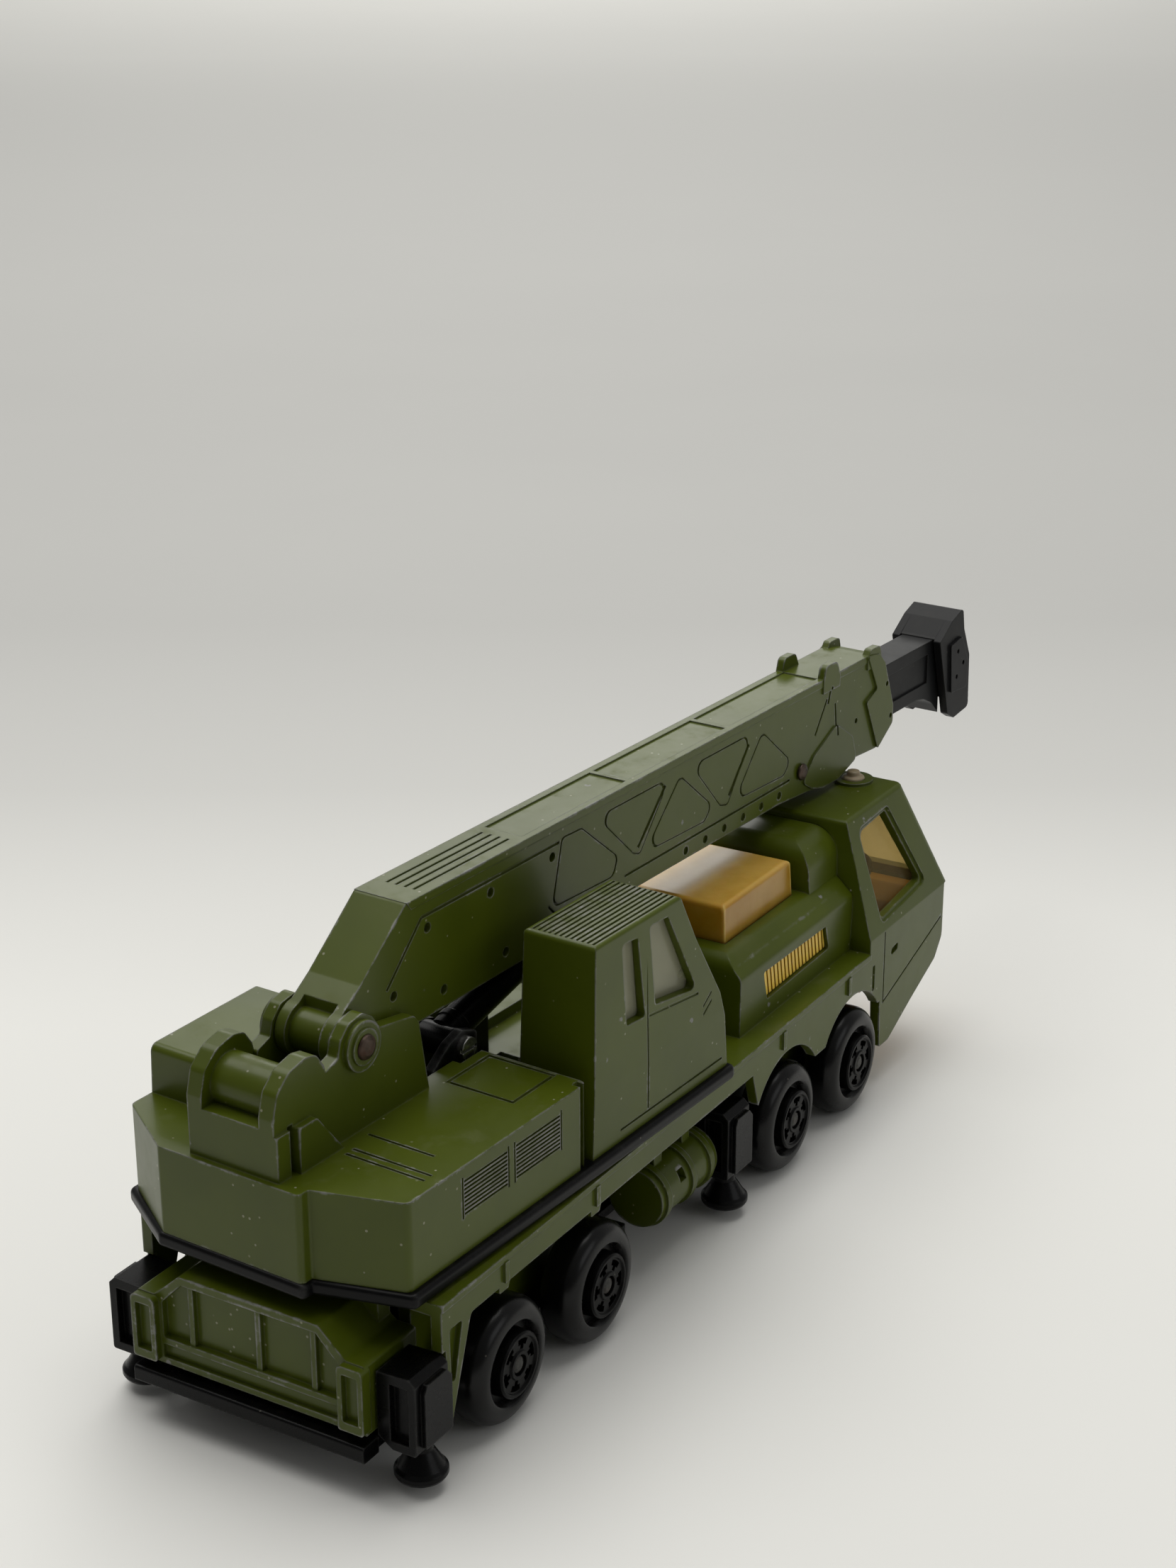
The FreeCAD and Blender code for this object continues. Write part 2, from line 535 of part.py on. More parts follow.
def engine_strip(side):
    outline = [(27.0, 36.6), (52.8, 36.2), (54.4, 30.2), (28.8, 29.6)]
    backing = prism("xz", outline, -20.1, -19.2)
    face = prism("xz", [(28.85, 35.55, 0.4), (51.5, 35.15, 0.4), (52.7, 30.95, 0.4), (30.3, 30.55, 0.4)],
                 -21.4, -19.6)
    ribs = []
    n = 19
    for i in range(n):
        x = 29.2 + i * 1.25
        groove = prism("xz", [(x, 37), (x + 0.45, 37), (x + 1.95, 29), (x + 1.5, 29)], -22, -20.9)
        ribs.append(groove)
    strip = fuse([backing, cut(face, ribs)])
    return strip if side < 0 else mirror_y(strip)


def roof_beacon():
    cap = turned([(0, 0), (2.1, 0), (1.9, 0.35, 0.1), (1.25, 0.55, 0.15), (1.15, 1.35, 0.3), (0, 1.6)])
    cap.rotate(V(0, 0, 0), V(1, 0, 0), 90)
    cap.translate(V(BOSS_XY[0], BOSS_XY[1], CAB_ROOF_Z + 0.5))
    return cap


# ---------------------------------------------------------------- turret
def turret_outline(grow, front):
    """Plan of the turret: stepped centre block at the rear, chamfered corners."""
    y = TURRET_Y + grow
    x = TURRET_REAR_X - grow * 0.4
    return [(x, -11.7 - grow * 0.4, 0.8), (x, 13.4 + grow * 0.4, 0.8), (x + 7.2, y, 1.2), (front, y, 1.2),
            (front, -y, 1.2), (x + 6.4, -y, 1.2), (x + 2.0, -11.7 - grow * 0.5, 0.4)]


def turret_base_plate():
    rim = prism("xy", turret_outline(1.15, 9.4), RIM_Z0, RIM_Z1)
    lip = [e for e in rim.Edges if e.BoundBox.ZLength < 0.01]
    rim = rim.makeFillet(0.75, lip)
    spigot = rod("z", (SLEW_X, 0, SPIGOT_Z), SPIGOT_R, RIM_Z1 - SPIGOT_Z)
    nib = rod("z", (SLEW_X, 0, SPIGOT_Z - 2.0), 2.5, 3.0)
    bx, bz = RAM_PIN
    cheeks = [prism("xz", [(bx - 7.5, RIM_Z1 - 1), (bx - 7.5, 43.0, 0.6), (bx - 3.4, bz + 1.6, 1.0),
                           (bx, bz + 2.6, 1.4), (bx + 3.4, bz + 1.4, 1.0), (bx + 3.6, RIM_Z1 - 1)], y,
                           y + 1.5)
              for y in (-4.5, 3.0)]
    web = box(bx - 7.5, bx - 5.4, -4.5, 4.5, RIM_Z1 - 1, 42.4)
    post = box(-17.6, -16.2, 5.2, 6.6, RIM_Z1 - 1, 51.0)
    foot = box(-19.6, -14.2, 4.8, 7.0, RIM_Z1 - 1, 42.0)
    pin_hole = rod("y", (bx, -6, bz), 1.05, 12)
    return cut(fuse([rim, spigot, nib, web, post, foot] + cheeks), [pin_hole])


def turret_retainer():
    ring = rod("z", (SLEW_X, 0, SPIGOT_Z - 1.2), 8.2, 1.2)
    return ring.cut(rod("z", (SLEW_X, 0, SPIGOT_Z - 3), 2.52, 6))


def operator_cab():
    x0, x1 = OPCAB_X
    y0, y1 = OPCAB_Y
    z0, z1 = RIM_Z1, OPCAB_ROOF_Z
    side = [(x0 - 0.7, z0), (x0 + 0.9, z1, 0.8), (x1, z1, 0.8), (-0.9, 54.6, 2.0), (6.0, 43.1, 3.0),
            (7.4, 38.6, 3.0), (8.2, z0)]
    body = prism("xz", side, y0, y1)
    taper = prism("yz", [(y0, z0), (y0, 40.0), (y0 + 0.5, z1, 0.6), (y1 - 0.3, z1, 0.6), (y1, 40.0),
                         (y1, z0)], x0 - 3, 12)
    body = body.common(taper)
    inner = prism("xz", [(x0 + 1.6, z0 + 3), (x0 + 2.6, z1 - 1.6, 0.5), (x1 - 0.9, z1 - 1.6, 0.5),
                         (-2.6, 54.0, 1.5), (4.2, 42.6, 2.0), (5.6, 38.6, 2.0),
                         (6.2, z0 + 3)], y0 + 1.6, y1 - 1.4)
    grooves = []
    n = 12
    pitch = (y1 - y0 - 2.0) / n
    for i in range(n):
        y = y0 + 1.3 + i * pitch
        grooves.append(box(x0 + 1.6, x1 - 0.4, y, y + 0.42, z1 - 0.35, z1 + 1))
    rear_window = [(-21.0, 61.0, 0.8), (-16.8, 60.6, 0.5), (-15.2, 47.4, 0.5), (-20.2, 47.8, 0.5)]
    main_window = [(-13.6, 61.2, 0.6), (-8.6, 61.0, 0.6), (-0.9, 46.4, 0.8), (-12.4, 48.2, 0.6)]
    front = prism("yz", [(y0 + 2.2, 45.5, 0.6), (y0 + 2.4, 60.8, 0.6), (y1 - 2.2, 60.8, 0.6),
                         (y1 - 2.0, 45.5, 0.6)],
                  -8.0, 12)
    windows = [prism("xz", w, y0 - 1, y1 + 1) for w in (rear_window, main_window)]
    seam = [box(-14.7, -14.35, y0 - 1, y0 + 0.35, 32.0, 61.6),
            box(-22.0, 6.6, y0 - 1, y0 + 0.3, 31.4, 31.75)]
    sills = [prism("xz", [(-14.2, 46.9), (-0.4, 45.2), (-0.4, 45.6), (-14.2, 47.3)], y0 - 1, y0 + 0.3)]
    vents = [prism("xz", [(1.0, 41.0 + k), (3.4, 42.6 + k), (3.4, 43.0 + k), (1.0, 41.4 + k)], y0 - 1,
                   y0 + 0.3)
             for k in (0.0, 1.4)]
    tools = [inner, front] + grooves + windows + seam + sills + vents
    return body, tools


def winch_housing():
    y0, y1 = WINCH_Y
    base = box(-78.2, -64.5, y0, y1, TURRET_Z1 - 1, 50.6)
    ear = [(-78.2, 43.0), (-78.2, 52.2, 1.0), (-77.2, 55.8, 1.5), (-74.6, 58.1, 2.5), (-71.2, 58.9, 2.5),
           (-68.9, 58.4, 1.2), (-67.4, 56.2, 1.0), (-66.4, 52.0), (-64.6, 43.0)]
    ears = [prism("xz", ear, s, s + WINCH_EAR_T) for s in (y0, y1 - WINCH_EAR_T)]
    drum = rod("y", (-72.4, y0 + 1.0, 53.0), 3.9, y1 - y0 - 2.0)
    flank = prism("xz", [(-74.4, 42.0), (-74.4, 50.0, 0.3), (-70.6, 50.0, 0.3), (-64.4, 42.0)], y0 - 1.2,
                  y0 + 0.5)
    pillar = box(-78.2, -75.5, y0 - 0.5, y0 + 0.5, TURRET_Z1 - 1, 50.0)
    seam = box(-75.5, -74.4, y0 - 2, y0 + 1.0, TURRET_Z1, 50.4)
    return cut(fuse([base, drum, flank, pillar] + ears), [seam])


def side_plates():
    px, pz = BOOM_PIVOT
    outline = [(-67.8, TURRET_Z1 - 1), (-67.3, 55.0, 0.6), (-64.4, 56.0, 0.5), (-63.8, 58.2, 1.0),
               (-61.9, 60.1, 1.5), (-58.8, 60.6, 1.5), (-56.8, 59.3, 1.2), (-55.2, 57.0, 0.8),
               (-47.6, 55.7, 0.8), (-46.5, 54.4, 0.5), (-44.4, TURRET_Z1 - 1)]
    out = []
    for s in (-1, 1):
        y0 = 5.0 if s > 0 else -7.0
        plate = prism("xz", outline, y0, y0 + 2.0)
        boss = rod("y", (px, -7.8 if s < 0 else 5.4, pz), 3.7, 2.4)
        ring = rod("y", (px, -8.1 if s < 0 else 7.0, pz), 2.7, 1.1)
        out += [plate, boss, ring]
    return out


def turret_body():
    z0, z1 = RIM_Z1, TURRET_Z1
    block = prism("xy", turret_outline(0.0, -30.8), z0, z1)
    apron = box(-32.0, 8.2, 11.0, TURRET_Y, z0, 33.6)
    apron_front = box(-32.0, -6.0, 11.0, TURRET_Y, z0, z1)
    left_box = prism("xz", [(-67.8, z1 - 1), (-67.4, 50.6, 1.2), (-43.8, 50.9, 1.2), (-43.2, z1 - 1)], 9.4,
                     TURRET_Y)
    cab, cab_tools = operator_cab()
    floor = box(-32.0, 8.2, -12.0, 12.0, z0, z0 + 2.0)
    parts = [block, apron, apron_front, left_box, cab, floor, winch_housing()] + side_plates()
    px, pz = RAM_PIN
    ear = prism("xz", [(px - 5.5, z1 - 1), (px - 4.2, pz + 2.6, 2.2), (px + 0.5, pz + 3.8, 2.6),
                       (px + 4.6, pz + 1.6, 1.6), (px + 5.4, z1 - 1)], 4.9, 6.4)
    parts.append(ear)
    body = fuse(parts)
    well = [box(px - 3.0, px + 3.0, -6.2, -4.0, 41.0, z1 + 1), box(-19.9, -13.9, 4.5, 7.3, z0 - 1, z1 + 1),
            box(-44.0, -11.0, -4.8, 4.8, z0 - 1, z1 + 1), box(-30.0, -8.0, -11.0, 8.0, z0 + 2.0, z1 + 1),
            rod("z", (SLEW_X, 0, z0 - 1), SPIGOT_R + 0.2, 3)]
    hollow = [prism("xy", [(-70, -22.6), (-34.0, -22.6), (-34.0, -7.0), (-70, -7.0)], z0 - 1, z1 - 2.2),
              prism("xy", [(-70, 8.0), (-34.0, 8.0), (-34.0, 22.6), (-70, 22.6)], z0 - 1, z1 - 2.2)]
    grille = []
    for x0, x1 in ((-61.0, -50.0), (-48.9, -37.2)):
        for i in range(9):
            z = 35.7 + i * 0.62
            grille.append(box(x0 + 0.5, x1 - 0.5, -TURRET_Y - 1, -TURRET_Y + 0.45, z, z + 0.33))
            grille.append(box(x0 + 0.5, x1 - 0.5, TURRET_Y - 0.45, TURRET_Y + 1, z, z + 0.33))
        grille.append(box(x0, x0 + 0.35, -TURRET_Y - 1, -TURRET_Y + 0.4, 35.2, 41.6))
        grille.append(box(x1 - 0.35, x1, -TURRET_Y - 1, -TURRET_Y + 0.4, 35.2, 41.6))
    lines = [box(x - 0.2, x + 0.2, y0, y1, z1 - 0.3, z1 + 1) for x, y0, y1 in
             ((-66.6, -23.0, -9.5), (-65.0, -23.0, -9.5), (-60.5, -20.0, -8.6))]
    hatch = box(-42.0, -31.4, -20.0, -8.0, z1 - 0.3,
                z1 + 1).cut(box(-41.5, -31.9, -19.5, -8.5, z1 - 1, z1 + 2))
    pins = [rod("y", (BOOM_PIVOT[0], -12, BOOM_PIVOT[1]), PIVOT_PIN_R + 0.02, 24),
            rod("y", (px, 4.0, pz), 1.05, 4)]
    gap = [box(-32.6, -31.4, -TURRET_Y - 1, -TURRET_Y + 1.4, z0 - 1, z1 + 1)]
    return cut(body, cab_tools + well + hollow + grille + lines + [hatch] + pins + gap)


def operator_glazing():
    x0, x1 = OPCAB_X
    y0, y1 = OPCAB_Y
    z1 = OPCAB_ROOF_Z
    side = [(x0 + 2.9, 44.4), (x0 + 2.9, z1 - 1.9, 0.4), (x1 - 1.2, z1 - 1.9, 0.4), (-3.2, 53.8, 1.2),
            (2.2, 44.4)]
    shell = prism("xz", side, y0 + 1.65, y1 - 1.45)
    inner = prism("xz", [(x0 + 3.7, 44.0), (x0 + 3.7, z1 - 2.7), (x1 - 2.0, z1 - 2.7), (-4.1, 53.6),
                         (1.2, 44.0)],
                  y0 + 2.45, y1 - 2.25)
    return shell.cut(inner)


def boom_pin():
    px, pz = BOOM_PIVOT
    shaft = rod("y", (px, 0, pz), PIVOT_PIN_R, 16.6, both=True)
    heads = []
    for s in (-1, 1):
        head = turned([(0, 0), (1.9, 0), (1.7, 0.35), (1.1, 0.65), (0, 0.7)])
        head.translate(V(0, 8.15, 0))
        if s < 0:
            head = mirror_y(head)
        head.translate(V(px, 0, pz))
        heads.append(head)
    return fuse([shaft] + heads)


def ram_pin():
    px, pz = RAM_PIN
    shaft = rod("y", (px, 0, pz), 1.0, 9.8, both=True)
    head = rod("y", (px, -5.7, pz), 1.75, 1.2)
    slot = box(px - 2, px + 2, -6.2, -5.3, pz - 0.25, pz + 0.25)
    return cut(fuse([shaft, head]), [slot])


# ---------------------------------------------------------------- ram
def ram_frame():
    a, b = RAM_PIN, RAM_EYE
    return math.degrees(math.atan2(b[1] - a[1], b[0] - a[0])), math.hypot(b[0] - a[0], b[1] - a[1])


def place_ram(shape):
    angle, _ = ram_frame()
    out = shape.copy()
    out.rotate(V(0, 0, 0), V(0, 1, 0), -angle)
    out.translate(V(RAM_PIN[0], 0, RAM_PIN[1]))
    return out


def ram_cylinder():
    eye = rod("y", (0, 0, 0), 2.4, 5.6, both=True)
    barrel = rod("x", (1.2, 0, 0), RAM_R, RAM_LENGTH - 1.2)
    collar = [rod("x", (RAM_LENGTH - 2.4, 0, 0), RAM_R + 0.25, 2.4),
              rod("x", (3.0, 0, 0), RAM_R + 0.2, 1.2)]
    body = fuse([eye, barrel] + collar)
    bore = rod("x", (6.0, 0, 0), ROD_R + ROD_CLEARANCE, RAM_LENGTH)
    return place_ram(cut(body, [bore, rod("y", (0, -5, 0), 1.05, 10)]))


def ram_rod():
    _, length = ram_frame()
    shaft = rod("x", (8.0, 0, 0), ROD_R, length - 9.0)
    eye = rod("y", (length, 0, 0), 2.1, 2 * ROD_EYE_Y, both=True)
    return place_ram(cut(fuse([shaft, eye]), [rod("y", (length, -4, 0), 1.0, 8)]))


# ---------------------------------------------------------------- boom
BOOM_SIDE = [(-45.6, BOOM_TOP, 1.2), (-56.2, 63.0, 3.0), (-63.0, 58.4, 3.5), (-62.6, 51.4, 4.4),
             (-54.6, 50.6, 3.0), (-50.6, 52.4, 2.0), (-2.0, 52.4), (4.0, 53.4), (58.0, 53.0), (68.6, 52.2),
             (73.4, 51.4, 1.0), (79.0, 51.4, 1.5), (85.6, 53.4, 0.8), (93.4, 52.9, 0.8),
             (BOOM_FRONT_X, 56.4, 1.0), (BOOM_FRONT_X, 59.8, 1.0), (95.2, 69.0, 0.8), (93.0, 71.1, 0.5),
             (90.4, BOOM_TOP, 0.6)]


def groove(p, q, width, y0, y1):
    """Narrow straight groove between two (x, z) points."""
    dx, dz = q[0] - p[0], q[1] - p[1]
    n = math.hypot(dx, dz)
    ux, uz = -dz / n * width / 2.0, dx / n * width / 2.0
    return prism("xz", [(p[0] + ux, p[1] + uz), (q[0] + ux, q[1] + uz), (q[0] - ux, q[1] - uz),
                        (p[0] - ux, p[1] - uz)],
                 y0, y1)


def outline_grooves(points, width, y0, y1):
    """Engraved outline of a rounded panel."""
    cx = sum(p[0] for p in points) / len(points)
    cz = sum(p[1] for p in points) / len(points)
    outer = prism("xz", points, y0, y1)
    k = width / 2.2
    f = 1 - k / 5.0
    small = [(cx + (p[0] - cx) * f, cz + (p[1] - cz) * f) + tuple(p[2:]) for p in points]
    return outer.cut(prism("xz", small, y0 - 1, y1 + 1))


def boom_relief():
    """Panel lines, truss pattern, notches and rivet holes of the right boom side."""
    y0, y1 = -BOOM_HALF_W - 1, -BOOM_HALF_W + 0.35
    tools = [groove((-42.2, 68.2), (-8.0, 68.2), 0.45, y0, y1),
             groove((-42.2, 68.2), (-50.5, 60.0), 0.45, y0, y1),
             groove((10.0, 56.4), (62.0, 56.4), 0.4, y0, y1),
             groove((-8.6, 56.2), (-11.0, 58.6), 0.4, y0, y1)]
    panels = [[(-7.4, 68.8, 1.0), (-10.2, 58.0, 1.5), (6.8, 57.4, 1.5), (8.2, 60.4, 1.5),
               (-2.0, 68.6, 1.5)],
              [(2.0, 69.0, 1.5), (12.4, 59.4, 1.5), (14.4, 58.6, 1.0), (23.2, 69.0, 1.5)],
              [(26.2, 68.4, 1.5), (15.8, 58.4, 1.5), (34.0, 57.8, 1.5), (36.4, 60.0, 1.5)],
              [(29.6, 69.0, 1.5), (38.8, 59.0, 1.5), (41.2, 58.4, 1.0), (49.0, 69.0, 1.5)],
              [(52.2, 68.2, 1.5), (43.4, 58.4, 1.5), (60.0, 57.8, 1.5), (62.2, 60.0, 1.5)]]
    tools += [outline_grooves(p, 0.5, y0, y1) for p in panels]
    tools += [groove((21.8, 68.0), (13.8, 60.0), 0.7, y0, y1),
              groove((47.8, 67.2), (41.6, 60.0), 0.7, y0, y1),
              groove((76.0, 69.6), (75.0, 66.6), 0.6, y0, y1),
              groove((74.6, 67.6), (70.6, 62.0), 0.5, y0, y1),
              groove((77.6, 66.0), (78.4, 59.8), 0.5, y0, y1)]
    tools += [rod("y", (x, -BOOM_HALF_W - 1, z), 0.75, 1.9) for x, z in
              ((-40.9, 66.2), (-25.7, 66.2), (-9.9, 66.4), (-49.0, 58.6), (-37.4, 55.2), (-22.1, 55.4))]
    tools += [rod("y", (28.2 + i * 6.05, -BOOM_HALF_W - 1, 54.6), 0.7, 1.5) for i in range(6)]
    tools += [rod("y", (x, -BOOM_HALF_W - 1, z), 0.5, 1.5) for x,
              z in ((96.2, 64.6), (98.0, 58.0), (85.6, 60.4))]
    return tools


def outer_boom():
    w = BOOM_HALF_W
    body = prism("xz", BOOM_SIDE, -w, w)
    flange = prism("xz", [(-44.6, BOOM_TOP - 1.3), (89.0, BOOM_TOP - 1.3), (89.0, BOOM_TOP),
                          (-45.6, BOOM_TOP)],
                   -w - 0.12, w + 0.12)
    collar = prism("xz", [(88.7, BOOM_TOP, 0.5), (92.6, 64.6, 0.5), (88.6, 63.0, 0.5), (93.4, 52.9, 0.3),
                          (BOOM_FRONT_X, 56.4, 1.0), (BOOM_FRONT_X, 59.8, 1.0), (95.2, 69.0, 0.8),
                          (93.0, 71.1, 0.5), (90.4, BOOM_TOP, 0.5)], -w - 0.5, w + 0.5)
    lobe = prism("xz", [(66.0, 54.6, 1.0), (69.6, 52.4, 1.0), (73.4, 51.4, 1.0), (79.0, 51.4, 1.5),
                        (85.6, 53.4, 1.0), (84.0, 58.0, 2.0), (78.0, 62.0, 2.0),
                        (70.0, 58.4, 2.0)], -w - 0.35, w + 0.35)
    lug_sides = [[(72.8, 69.0), (72.8, 71.2), (73.6, 73.9, 1.2), (77.4, 73.9, 1.2), (78.7, 71.2),
                  (78.7, 69.0)],
                 [(88.9, 69.0), (88.9, 71.2), (90.1, 72.6, 0.8), (93.4, 72.6, 0.8), (94.4, 69.0)]]
    lugs = []
    for side in lug_sides:
        lugs += both_sides([prism("xz", side, -w - 0.3, -w + 1.1)])
    px, pz = BOOM_PIVOT
    ears = both_sides([rod("y", (px, -w - 0.2, pz), HINGE_EAR_R, 1.8)])
    barrel = rod("y", (px, 0, pz), HINGE_BARREL_R, 2 * w, both=True)
    notch = box(px - 6, px + 0.5, -w + 1.6, w - 1.6, pz - 8, pz + 8).cut(barrel)
    solid = fuse([body.cut(notch), flange, collar, lobe, barrel] + ears + lugs)
    t = BOOM_WALL
    inner = [prism("xz", [(-44.6, BOOM_TOP - t - 0.1), (-54.0, 61.6, 1.0), (-51.5, 56.0, 1.0),
                          (-49.0, 50.0), (60.0, 50.0), (60.0, BOOM_TOP - t - 0.1)], -w + t, w - t),
             box(59.0, BOOM_FRONT_X + 5, -INNER_HALF_W - 0.06, INNER_HALF_W + 0.06, INNER_Z[0] - 0.06,
                 INNER_Z[1] + 0.06)]
    top_lines = [box(-41.0, -18.0, y - 0.22, y + 0.22, BOOM_TOP - 0.3, BOOM_TOP + 1) for y in (-2.4, -0.8,
                                                                                               0.8, 2.4)]
    top_field = [box(-16.0, 12.0, -3.4, 3.4, BOOM_TOP - 0.25, BOOM_TOP + 1),
                 box(13.0, 42.0, -3.4, 3.4, BOOM_TOP - 0.25, BOOM_TOP + 1),
                 box(43.0, 73.0, -3.4, 3.4, BOOM_TOP - 0.25, BOOM_TOP + 1)]
    right = boom_relief()
    tools = inner + top_lines + top_field + both_sides(right)
    tools.append(rod("y", (px, -8, pz), PIVOT_PIN_R + 0.05, 16))
    tools += both_sides([rod("y", (65.7, -w - 2, 56.8), 1.02, 2.6)])
    body = cut(solid, tools)
    gap = ROD_EYE_Y + 0.1
    stubs = both_sides([rod("y", (RAM_EYE[0], gap, RAM_EYE[1]), 1.8, w - 0.5 - gap)])
    return fuse([body] + stubs)


def boom_rivets():
    out = []
    for s in (-1, 1):
        head = turned([(0, 0), (1.5, 0), (1.4, 0.3), (0.8, 0.6), (0, 0.65)])
        head.translate(V(0, BOOM_HALF_W + 0.37, 0))
        shank = rod("y", (0, BOOM_HALF_W - 0.55, 0), 1.0, 1.0)
        r = fuse([head, shank])
        if s < 0:
            r = mirror_y(r)
        r.translate(V(65.7, 0, 56.8))
        out.append(r)
    return Part.makeCompound(out)


def inner_boom():
    w = INNER_HALF_W
    z0, z1 = INNER_Z
    body = box(INNER_REAR_X, 121.0, -w, w, z0, z1)
    gusset = prism("xz", [(112.0, z0 + 1.0), (112.0, z0), (115.0, 55.9, 3.0), (118.4, 54.2, 4.0),
                          (121.0, 51.6), (121.0, z0 + 1.0)], -w, w)
    channel = [box(INNER_REAR_X + 4, 116.0, -w - 1, -w + 0.4, z0 + 2.4, z1 - 2.4),
               box(INNER_REAR_X + 4, 116.0, w - 0.4, w + 1, z0 + 2.4, z1 - 2.4),
               box(INNER_REAR_X - 1, 112.0, -w + 1.2, w - 1.2, z0 - 1, z1 - 1.4)]
    return cut(fuse([body, gusset]), channel)


def boom_head():
    """Moulded head block with two side plates, a closed top and raised cheeks."""
    w = HEAD_HALF_W
    side = [(121.6, 51.4, 0.8), (124.2, 49.9, 0.8), (130.3, 50.6, 1.0), (129.9, 61.2, 1.0),
            (127.0, 67.4, 0.8), (126.4, 71.3, 0.8), (122.0, 69.8, 0.6), (117.2, 66.7, 0.4)]
    plates = both_sides([prism("xz", side, -w, -w + 1.5)])
    core = prism("xz", [(121.0, 54.6, 0.5), (128.0, 53.6, 0.5), (129.0, 60.6, 0.5), (126.2, 69.2, 0.5),
                        (121.0, 68.8, 0.5)], -w + 1.0, w - 1.0)
    top = INNER_Z[1] + 0.05
    cap = prism("xz", [(117.7, top), (122.0, 69.8, 0.6), (126.4, 71.3, 0.8), (127.2, top)], -w, w)
    cheeks = both_sides([prism("xz", [(121.8, 55.6, 0.6), (128.2, 55.2, 0.6), (128.4, 60.4, 0.6),
                                      (125.6, 66.0, 0.6), (121.0, 65.2, 0.6)], -w - 0.5, -w + 0.2)])
    dimples = both_sides([rod("y", (x, -w - 2, z), 0.45, 1.9) for x,
                          z in ((123.8, 58.4), (126.4, 60.6), (124.0, 63.4))])
    front = [box(128.0, 133.0, -2.6, 2.6, 56.4, 58.8), box(127.6, 133.0, -2.6, 2.6, 61.6, 64.0)]
    return cut(fuse(plates + [core, cap] + cheeks), dimples + front)


# ---------------------------------------------------------------- outriggers
def outrigger(x, width, foot_x):
    """Right-hand sliding leg with box housing, beam, stem and foot."""
    w = width / 2.0
    ya, yb = OUTRIGGER_Y
    z0, z1 = OUTRIGGER_Z
    housing = prism("yz", [(-yb, z0, 0.4), (-yb, z1 - 1.0, 0.3), (-yb + 1.0, z1, 0.3), (-ya, z1 - 0.3),
                           (-ya, z0 + 1.6), (-ya - 2.4, z0, 0.4)], x - w, x + w)
    pad = prism("xz", [(x - w + 1.3, z0 + 0.8, 0.3), (x - w + 1.3, z1 - 2.4, 0.3),
                       (x - w + 2.0, z1 - 1.3, 0.3), (x + w - 1.2, z1 - 1.3, 0.3),
                       (x + w - 0.05, z1 - 2.6, 0.3), (x + w - 0.05, z0 + 0.8, 0.3)],
                -yb - 0.75, -yb + 0.3)
    slots = [box(x - w - 1, x - w + 1.2, -yb + 1.2, -yb + 4.2, z0 + 1.3, z1 - 1.6),
             box(x + w - 1.2, x + w + 1, -yb + 1.2, -yb + 4.2, z0 + 1.3, z1 - 1.6)]
    beam = box(x - 2.3, x + 2.3, -ya - 0.5, -3.0, 10.6, 16.2)
    cy = -24.0
    foot = turned([(0, 0.5), (1.6, 0.5), (2.4, 0.0), (FOOT_R - 0.3, 0.0, 0.2), (FOOT_R, 0.5, 0.2),
                   (FOOT_R, 1.2, 0.3), (FOOT_R - 0.5, 1.7, 0.3), (2.3, 3.4, 0.4), (1.75, 4.2, 0.3),
                   (1.75, 6.4), (0, 6.4)])
    foot.rotate(V(0, 0, 0), V(1, 0, 0), 90)
    foot.translate(V(foot_x, cy, FOOT_Z0))
    return cut(fuse([housing, pad, beam, foot]), slots)


# ---------------------------------------------------------------- build
save("chassis_body", chassis_body())
save("base_plate", base_plate())
save("base_rivets", base_rivets())
save("cab_glazing", cab_glazing())
save("cab_interior", cab_interior())
save("steering_wheel", steering_wheel())
save("engine_cover", engine_cover())
save("engine_strip_right", engine_strip(-1))
save("engine_strip_left", engine_strip(1))
save("roof_beacon", roof_beacon())
for i, x in enumerate(AXLE_X):
    save("axle_%d" % (i + 1), axle(x))
    for side, tag in ((-1, "right"), (1, "left")):
        turn = (13.0, -8.0, 20.0, 4.0)[i] * side
        save("tyre_%d_%s" % (i + 1, tag), place_wheel(tyre(), x, side, turn))
        save("hub_%d_%s" % (i + 1, tag), place_wheel(hub(), x, side, turn))
for x, width, foot_x, tag in zip(OUTRIGGER_X, OUTRIGGER_W, FOOT_X, ("rear", "mid")):
    leg = outrigger(x, width, foot_x)
    save("outrigger_%s_right" % tag, leg)
    save("outrigger_%s_left" % tag, mirror_y(leg))
save("turret_base_plate", slewed(turret_base_plate()))
save("turret_retainer", slewed(turret_retainer()))
save("turret_body", slewed(turret_body()))
save("operator_glazing", slewed(operator_glazing()))
save("boom_pin", slewed(boom_pin()))
save("ram_pin", slewed(ram_pin()))
save("ram_cylinder", slewed(ram_cylinder()))
save("ram_rod", slewed(ram_rod()))
save("outer_boom", slewed(outer_boom()))
save("boom_rivets", slewed(boom_rivets()))
save("inner_boom", slewed(inner_boom()))
save("boom_head", slewed(boom_head()))
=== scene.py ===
import math

import bpy
from mathutils import Matrix, Vector

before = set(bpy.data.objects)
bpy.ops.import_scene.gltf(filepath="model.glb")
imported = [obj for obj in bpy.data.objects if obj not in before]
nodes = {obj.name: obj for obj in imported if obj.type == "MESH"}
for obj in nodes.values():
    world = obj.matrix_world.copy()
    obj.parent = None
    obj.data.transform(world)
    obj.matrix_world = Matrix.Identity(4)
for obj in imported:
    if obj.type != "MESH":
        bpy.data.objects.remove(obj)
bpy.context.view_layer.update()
scene = bpy.context.scene
scene.view_settings.view_transform = "Standard"


